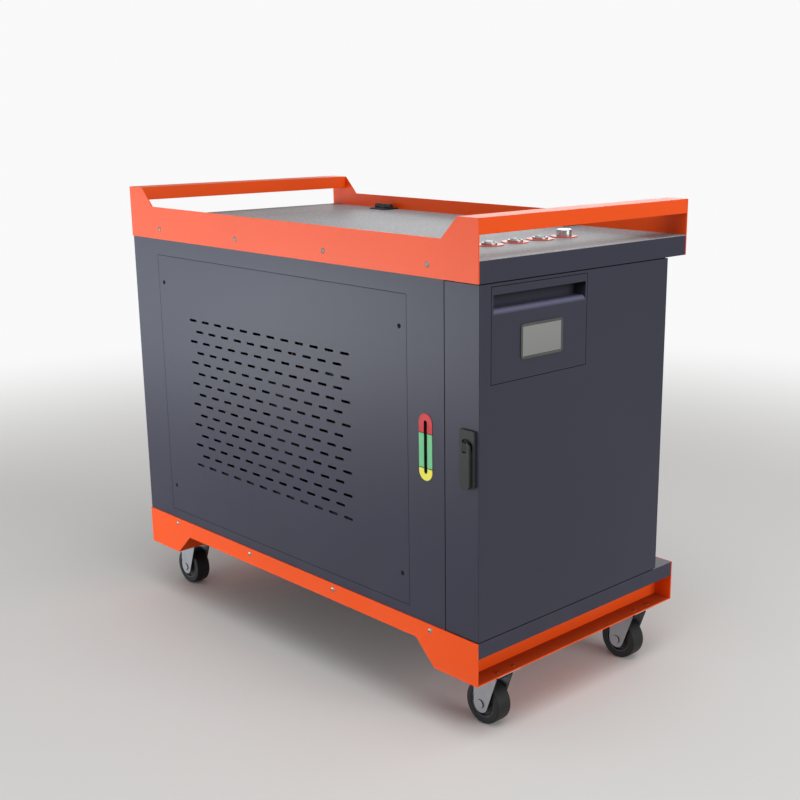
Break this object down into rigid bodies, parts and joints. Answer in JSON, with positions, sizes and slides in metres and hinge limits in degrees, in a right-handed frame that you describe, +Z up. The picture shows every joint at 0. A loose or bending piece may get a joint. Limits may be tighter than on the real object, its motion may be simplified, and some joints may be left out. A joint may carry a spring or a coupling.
{
  "type": "laser welding machine",
  "caption": "Wheeled cabinet laser welding machine with handle bars, wrap-round door, vent panel, top controls and chiller.",
  "frame": {"origin": "bottom centre of the whole machine on the floor", "axes": "+X to the machine's right as seen from the front, +Y to the rear, +Z up"},
  "size_m": [0.561, 1.047, 0.9],
  "materials": {
    "orange_paint": "semi-gloss powder coat",
    "orange_plastic": "moulded",
    "grey_paint": "satin powder coat",
    "textured_paint": "speckled texture powder coat",
    "frame_paint": "satin powder coat",
    "steel": "zinc plated or polished",
    "green_lens": "lit button",
    "red_plastic": "moulded",
    "black_plastic": "moulded or painted black",
    "gauge_plastic": "printed in three bands",
    "screen_glass": "dark display",
    "wheel_rubber": "moulded tread",
    "bare_aluminium": "brushed",
    "tank_plastic": "translucent white",
    "copper": "drawn tube",
    "hose_rubber": "flexible hose",
    "board": "solder mask",
    "brass": "machined"
  },
  "bodies": {
    "cabinet": {"base_pan": "grey_paint", "side_plate_left": "orange_paint", "side_plate_right": "orange_paint", "cross_members": "orange_paint", "upper_plate_left": "orange_paint", "upper_plate_right": "orange_paint", "handle_bars": "orange_paint", "top_cover": "textured_paint", "cabinet_frame": "frame_paint", "left_panel": "grey_paint", "right_panel": "grey_paint", "rear_panel": "grey_paint", "vent_panel": "grey_paint", "screws": "steel", "level_gauge": "gauge_plastic", "hatch_hinge_bases": "black_plastic", "door_hinge_bases": "steel", "control_collars": "orange_plastic", "switch_bodies": "steel", "caster_plates": "steel", "equipment_shelf": "frame_paint", "laser_source": "bare_aluminium", "water_tank": "tank_plastic", "pump": "black_plastic", "compressor": "black_plastic", "condenser": "bare_aluminium", "fan_shroud": "frame_paint", "refrigerant_pipes": "copper", "water_hoses": "hose_rubber", "power_supplies": "bare_aluminium", "cable_glands": "black_plastic", "pipe_fittings": "brass", "main_breaker": "black_plastic"},
    "door": {"front_door": "grey_paint", "door_hinge_leaves": "steel", "display_surround": "grey_paint", "screen_housing": "black_plastic", "screen_glass": "screen_glass", "control_board": "board", "lock_plate": "black_plastic"},
    "lock_spindle": {"lock_spindle": "steel"},
    "lock_lever": {"lock_lever": "black_plastic"},
    "hatch": {"service_hatch": "textured_paint", "hatch_hinge_leaves": "black_plastic"},
    "button_left": {"button_left": "steel"},
    "button_middle": {"button_middle": "green_lens"},
    "button_right": {"button_right": "green_lens"},
    "stop_button": {"stop_button": "red_plastic"},
    "key_barrel": {"key_barrel": "steel"},
    "tank_cap": {"tank_cap": "black_plastic"},
    "fan_rotor": {"fan_rotor": "black_plastic"},
    "breaker_toggle": {"breaker_toggle": "black_plastic"},
    "fork_front_left": {"fork_front_left": "steel"},
    "wheel_front_left": {"wheel_front_left": "wheel_rubber"},
    "fork_front_right": {"fork_front_right": "steel"},
    "wheel_front_right": {"wheel_front_right": "wheel_rubber"},
    "fork_rear_left": {"fork_rear_left": "steel"},
    "wheel_rear_left": {"wheel_rear_left": "wheel_rubber"},
    "fork_rear_right": {"fork_rear_right": "steel"},
    "wheel_rear_right": {"wheel_rear_right": "wheel_rubber"}
  },
  "joints": [
    {"name": "door_swing", "type": "hinge", "parent": "cabinet", "child": "door", "pos_m": [0.22525, -0.43525, 0.493], "axis": [0, 0, 1], "range_deg": [0, 110]},
    {"name": "lock_turn", "type": "hinge", "parent": "door", "child": "lock_spindle", "pos_m": [-0.2725, -0.4915, 0.5315], "axis": [1, 0, 0], "range_deg": [0, 90]},
    {"name": "lever_lift", "type": "hinge", "parent": "lock_spindle", "child": "lock_lever", "pos_m": [-0.2809, -0.4915, 0.5345], "axis": [0, 1, 0], "range_deg": [0, 25]},
    {"name": "hatch_lift", "type": "hinge", "parent": "cabinet", "child": "hatch", "pos_m": [0.25, 0.035, 0.841], "axis": [0, 1, 0], "range_deg": [0, 95]},
    {"name": "button_left_press", "type": "slide", "parent": "cabinet", "child": "button_left", "axis": [0, 0, -1], "range_m": [0, 0.0024], "stiffness_N_per_m": 800},
    {"name": "button_middle_press", "type": "slide", "parent": "cabinet", "child": "button_middle", "axis": [0, 0, -1], "range_m": [0, 0.0024], "stiffness_N_per_m": 800},
    {"name": "button_right_press", "type": "slide", "parent": "cabinet", "child": "button_right", "axis": [0, 0, -1], "range_m": [0, 0.0024], "stiffness_N_per_m": 800},
    {"name": "stop_press", "type": "slide", "parent": "cabinet", "child": "stop_button", "axis": [0, 0, -1], "range_m": [0, 0.005]},
    {"name": "key_turn", "type": "hinge", "parent": "cabinet", "child": "key_barrel", "pos_m": [0.0891, -0.376, 0.8445], "axis": [0, 0, 1], "range_deg": [-90, 0]},
    {"name": "cap_turn", "type": "hinge", "parent": "cabinet", "child": "tank_cap", "pos_m": [-0.1545, -0.2714, 0.69], "axis": [0, 0, 1], "range_deg": [0, 360]},
    {"name": "fan_spin", "type": "hinge", "parent": "cabinet", "child": "fan_rotor", "pos_m": [-0.0265, 0.44, 0.5465], "axis": [0, 1, 0], "continuous": true},
    {"name": "toggle_flip", "type": "hinge", "parent": "cabinet", "child": "breaker_toggle", "pos_m": [0.06, 0.515, 0.2715], "axis": [-1, 0, 0], "range_deg": [0, 50]},
    {"name": "swivel_front_left", "type": "hinge", "parent": "cabinet", "child": "fork_front_left", "pos_m": [-0.1925, -0.473, 0.09], "axis": [0, 0, 1], "continuous": true},
    {"name": "roll_front_left", "type": "hinge", "parent": "fork_front_left", "child": "wheel_front_left", "pos_m": [-0.1925, -0.462, 0.04], "axis": [1, 0, 0], "continuous": true},
    {"name": "swivel_rear_left", "type": "hinge", "parent": "cabinet", "child": "fork_rear_left", "pos_m": [-0.1925, 0.473, 0.09], "axis": [0, 0, 1], "continuous": true},
    {"name": "roll_rear_left", "type": "hinge", "parent": "fork_rear_left", "child": "wheel_rear_left", "pos_m": [-0.1925, 0.484, 0.04], "axis": [1, 0, 0], "continuous": true},
    {"name": "swivel_front_right", "type": "hinge", "parent": "cabinet", "child": "fork_front_right", "pos_m": [0.1925, -0.473, 0.09], "axis": [0, 0, 1], "continuous": true},
    {"name": "roll_front_right", "type": "hinge", "parent": "fork_front_right", "child": "wheel_front_right", "pos_m": [0.1925, -0.462, 0.04], "axis": [1, 0, 0], "continuous": true},
    {"name": "swivel_rear_right", "type": "hinge", "parent": "cabinet", "child": "fork_rear_right", "pos_m": [0.1925, 0.473, 0.09], "axis": [0, 0, 1], "continuous": true},
    {"name": "roll_rear_right", "type": "hinge", "parent": "fork_rear_right", "child": "wheel_rear_right", "pos_m": [0.1925, 0.484, 0.04], "axis": [1, 0, 0], "continuous": true}
  ]
}
